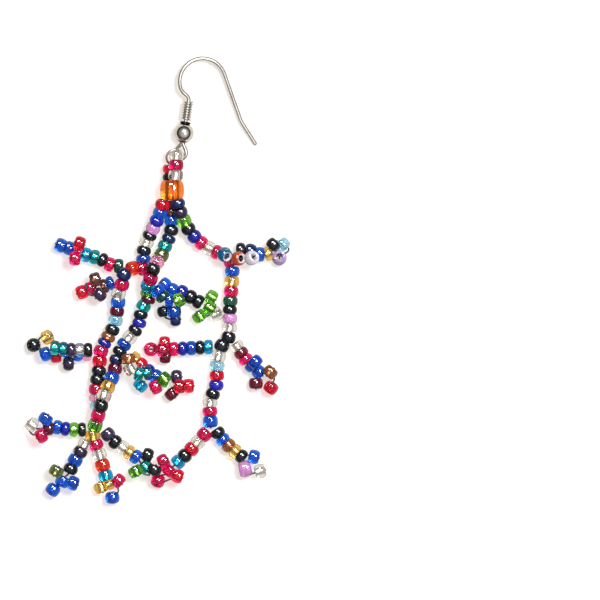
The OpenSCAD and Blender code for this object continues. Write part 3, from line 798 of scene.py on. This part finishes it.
    "beadLoop": {
        "node": "bead_loop", "slot": "red_glass",
        "strings": [(
            [(3.05, 17.0, 3.4), (3.15, 19.6, 3.5), (3.25, 21.7, 3.55)], -0.1,
            "clear 3.03 17.67, rose 3.13 19.42, clear 3.25 21"), (
            [(2.1, 17.1, 1.15), (2.1, 19.1, 1.15)], -0.4,
            "black 2.1 17.4, red 2.1 18.7")]},
    "large": {
        "node": "large_bead", "slot": "amber_glass", "size": (4.2, 3.2),
        "tips": [("amber", 2.45, 15.25, 2.0, 90, 0)]},
}

for seed, (name, look) in enumerate(strands.items()):
    beadPiece(name + "Beads", look, seed)
print("earring: bead strings made,", len(strands))


# Thread

# least and reach: the shortest and longest gap that a run of thread spans. rise: how far the run's
# middle lies above its ends. stub: how far the thread stands out of a tip bead.
threadLook = {"thick": 0.30, "step": 0.3, "sides": 6, "stub": 0.15, "reach": 1.0, "least": 0.1, "rise": 0.12}
farAway = (0, 0, -9)

# Bows of thread that show between the tip beads, and the ties under the upright beads.
threadBows = [
    [(-11.7, -0.2, 2.3), (-11.9, -0.8, 2.2), (-11.5, -1.7, 2.2), (-10.9, -2.25, 2.3), (-10.3, -2.2, 2.6)],
    [(-18.9, -9.0, 2.6), (-19.5, -9.3, 2.5), (-19.9, -9.9, 2.2)],
    [(-18.9, -11.4, 2.6), (-19.4, -11.1, 2.5), (-19.9, -10.9, 2.2)],
    [(3.8, -3.6, 3.2), (3.75, -4.25, 3.4), (3.75, -5.1, 3.3), (3.4, -5.6, 3.0)],
    [(9.3, -3.4, 2.3), (9.6, -3.8, 2.4), (9.7, -4.4, 2.2)],
    [(9.2, -5.3, 2.2), (8.8, -5.4, 2.3), (8.3, -5.7, 2.1)],
    [(4.2, -16.4, 2.4), (4.3, -16.9, 2.6), (4.35, -17.6, 2.5), (3.8, -18.4, 2.2)],
    [(21.8, 5.7, 1.6), (21.85, 5.2, 1.5), (21.2, 4.7, 1.4)],
    [(19.3, -15.6, 2.4), (19.5, -16.1, 2.3), (19.2, -16.8, 2.1)],
    [(0.9, -33.3, 2.1), (1.25, -33.2, 2.3), (2.2, -32.8, 2.5), (2.6, -32.9, 2.5)],
    [(14.7, -32.0, 2.0), (15.5, -31.9, 2.2), (16.3, -31.8, 2.0)],
    [(-21.3, -24.8, 1.6), (-20.9, -25.3, 2.0), (-20.2, -25.5, 2.4)],
    [(-6.6, -34.1, 1.9), (-6.5, -34.9, 1.8), (-6.9, -35.4, 1.6)],
    [(-1.6, -29.7, 2.5), (-1.2, -30.0, 2.8), (-0.9, -30.4, 2.9)],
    [(-1.2, -32.1, 2.8), (-1.7, -32.1, 2.8), (-2.4, -31.9, 2.8)],
    [(10.6, 4.8, 2.8), (10.4, 4.9, 1.9), (10.4, 4.8, 1.2)],
    [(12.9, 3.9, 2.8), (12.4, 3.8, 1.9), (12.0, 3.6, 1.2)],
    [(15.3, 3.7, 2.8), (15.1, 4.2, 2.0), (15.2, 5.0, 1.3)],
]


def holeEnds(tip):
    # where the thread leaves a tip bead, on both sides
    colour, x, y, z, turn, rise, *larger = tip
    reach = holeWay(turn, rise) * (beadFit["tipLong"] / 2 + threadLook["stub"])
    return [Vector((x, y, z)) - reach, Vector((x, y, z)) + reach]


def joined(some, others):
    # a short run between the nearest ends of two beads, where they are near enough
    here, there = min(((a, b) for a in some for b in others), key=lambda pair: (pair[0] - pair[1]).length)
    middle = here.lerp(there, 0.5) + Vector((0, 0, threadLook["rise"]))
    near = threadLook["least"] < (here - there).length < threadLook["reach"]
    return [[here, middle, there]] if near else []


threadRuns = [[Vector(point) for point in bow] for bow in threadBows]
for name, look in strands.items():
    routes = [[Vector(point) for point in route] for route, start, names in look.get("strings", [])]
    stubs = [holeEnds(tip) for tip in look.get("tips", [])] if "size" not in look else []
    threadRuns += routes + stubs
    # a cluster's thread comes from its string's end or its hub, and farAway is out of reach
    hub = Vector(look.get("hub") or (routes[-1][-1] if routes else farAway))
    for stub in stubs[:-1]:
        threadRuns += joined([hub], stub) + joined(stub, stubs[-1])

threadPiece = lineMesh("blackThread", threadRuns)
bpy.context.scene.collection.objects.link(threadPiece)
modifier = threadPiece.modifiers.new("thread", "NODES")
modifier.node_group = threadRun
for label, value in {"Thickness": threadLook["thick"] * mm, "Step": threadLook["step"] * mm,
                     "Sides": threadLook["sides"]}.items():
    modifier[threadKeys[label]] = value
bake(threadPiece, "blackThread")
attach(threadPiece, "root")
print("earring: thread made,", len(threadPiece.data.polygons), "faces")


# Metal

for node, metal in {"ear_wire": nickel, "ball_bead": ballNickel, "jump_ring": nickel}.items():
    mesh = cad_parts[node].data
    mesh.materials.clear()
    mesh.materials.append(metal)

coilLook = {"Turns": 7.0, "Radius": 0.68 * mm, "Height": 3.01 * mm, "Thickness": 0.35 * mm, "Sides": 10}
coilRise = 2.3

coilPiece = lineMesh("stemCoil", [[(0, 0, 0), (1, 0, 0)]])
bpy.context.scene.collection.objects.link(coilPiece)
modifier = coilPiece.modifiers.new("coil", "NODES")
modifier.node_group = coilRun
for label, value in coilLook.items():
    modifier[coilKeys[label]] = value
bake(coilPiece, "stemCoil")
coilPlace = Matrix.Translation((0, coilRise * mm, 0)) @ Matrix.Rotation(-math.pi / 2, 4, "X")
coilPiece.data.transform(stemMatrix @ coilPlace)
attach(coilPiece, "root")
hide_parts("wire_coil")
metalPieces = [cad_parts[node] for node in ("ear_wire", "ball_bead", "jump_ring")] + [coilPiece]
print("earring: metal finished,", len(coilPiece.data.polygons), "faces in the coil")


# Table, lights and camera

studio = {
    "floorSize": 3.0, "floorShade": 0.36, "floorGlow": 0.64, "glowTint": (1.0, 0.94, 0.89),
    "floorInMetal": (0.80, 0.75, 0.68),
    "key": {"from": (0.17, 0.12, 0.46), "size": (0.14, 0.14), "power": 2.8, "onMetal": False},
    "softbox": {"from": (-0.06, 0.34, 0.38), "size": (0.28, 0.16), "power": 6.5,
                "onMetal": False, "reflected": True},
    "window": {"from": (0.20, 0.16, 0.44), "size": (0.16, 0.12), "power": 3.0,
               "onMetal": False, "reflected": True},
    "sheen": {"from": (0.06, 0.20, 0.45), "size": (0.28, 0.24), "power": 0.62,
              "onMetal": True, "reflected": True},
    "sheenLow": {"from": (0.16, -0.04, 0.48), "size": (0.16, 0.16), "power": 0.20,
                 "onMetal": True, "reflected": True},
}


def makeFloor():
    half = studio["floorSize"] / 2
    mesh = bpy.data.meshes.new("table")
    corners = [(-half, -half, 0), (half, -half, 0), (half, half, 0), (-half, half, 0)]
    mesh.from_pydata(corners, [], [(0, 1, 2, 3)])
    floor = bpy.data.objects.new("table", mesh)
    bpy.context.scene.collection.objects.link(floor)
    material, start = newMaterial("paleTable")
    place = start.ownSpace()
    cloud = place.noise(40.0, 2.0)
    shade = studio["floorShade"]
    colour = cloud.blendColours((shade, shade, shade), (shade * 0.99, shade * 0.985, shade * 0.98))
    lit = start.add("ShaderNodeBsdfPrincipled", None, {
        "Base Color": colour, "Roughness": 0.6, "Emission Color": (*studio["glowTint"], 1),
        "Emission Strength": studio["floorGlow"]})
    # shiny parts show the table a little darker than it is, so their sides stand out from it
    dimmer = start.add("ShaderNodeEmission", None, {"Color": (*studio["floorInMetal"], 1)})
    mirrored = start.add("ShaderNodeLightPath", None, None, out="Is Glossy Ray")
    finishMaterial(start, start.add("ShaderNodeMixShader", None, {0: mirrored, 1: lit, 2: dimmer}))
    mesh.materials.append(material)


def makeLight(name, look):
    data = bpy.data.lights.new(name, "AREA")
    data.shape = "RECTANGLE"
    data.size, data.size_y = look["size"]
    data.energy = look["power"]
    lamp = bpy.data.objects.new(name, data)
    bpy.context.scene.collection.objects.link(lamp)
    lamp.location = look["from"]
    lamp.rotation_euler = (-Vector(look["from"])).to_track_quat("-Z", "Y").to_euler()
    # a highlight lamp leaves the table's brightness to the key lamp
    lamp.visible_diffuse = not look.get("reflected", False)
    # glass needs far brighter highlights than metal, so each has lamps of its own
    metals = bpy.data.collections.new(name + "Metals")
    for piece in metalPieces:
        metals.objects.link(piece)
    lamp.light_linking.receiver_collection = metals
    for each in metals.collection_objects:
        each.light_linking.link_state = "INCLUDE" if look["onMetal"] else "EXCLUDE"


def makeWorld():
    world = bpy.data.worlds.new("studio")
    bpy.context.scene.world = world
    world.use_nodes = True
    world.node_tree.nodes.clear()
    start = Wired(world.node_tree)
    look = start.add("ShaderNodeTexCoord", None, None, out="Generated")
    height = look.axis("Z")
    side = look.axis("X")
    sky = start.add("ShaderNodeValToRGB", {"stops": [
        (0.0, (0.03, 0.03, 0.03)), (0.35, (0.08, 0.08, 0.08)), (0.6, (0.36, 0.36, 0.36)),
        (0.8, (0.72, 0.72, 0.72)), (1.0, (0.80, 0.80, 0.80))]},
        {"Fac": height})
    # the room shows in the shiny parts more than it lights the table
    scattered = start.add("ShaderNodeLightPath", None, None, out="Is Diffuse Ray")
    soft = start.add("ShaderNodeBackground", None, {
        "Color": sky, "Strength": (0.6 + 0.4 * side.between(-0.6, 0.4)) * (1.0 - 0.7 * scattered)})
    pale = start.add("ShaderNodeBackground", None, {"Color": (0.97, 0.97, 0.97, 1), "Strength": 1.0})
    seen = start.add("ShaderNodeLightPath", None, None, out="Is Camera Ray")
    start.add("ShaderNodeOutputWorld", None, {"Surface": start.add(
        "ShaderNodeMixShader", None, {0: seen, 1: soft, 2: pale})})


def makeCamera():
    data = bpy.data.cameras.new("camera")
    data.lens, data.sensor_width = photo["lens"], photo["sensor"]
    data.clip_start, data.clip_end = photo["nearest"], photo["farthest"]
    camera = bpy.data.objects.new("camera", data)
    bpy.context.scene.collection.objects.link(camera)
    x, y = photo["middle"]
    camera.location = (x * mm, y * mm, photo["wide"] * mm * photo["lens"] / photo["sensor"])
    bpy.context.scene.camera = camera


makeFloor()
for name in ("key", "softbox", "window", "sheen", "sheenLow"):
    makeLight(name, studio[name])
makeWorld()
makeCamera()
bpy.context.scene.view_settings.view_transform = "Standard"
print("earring: table, lights and camera set")
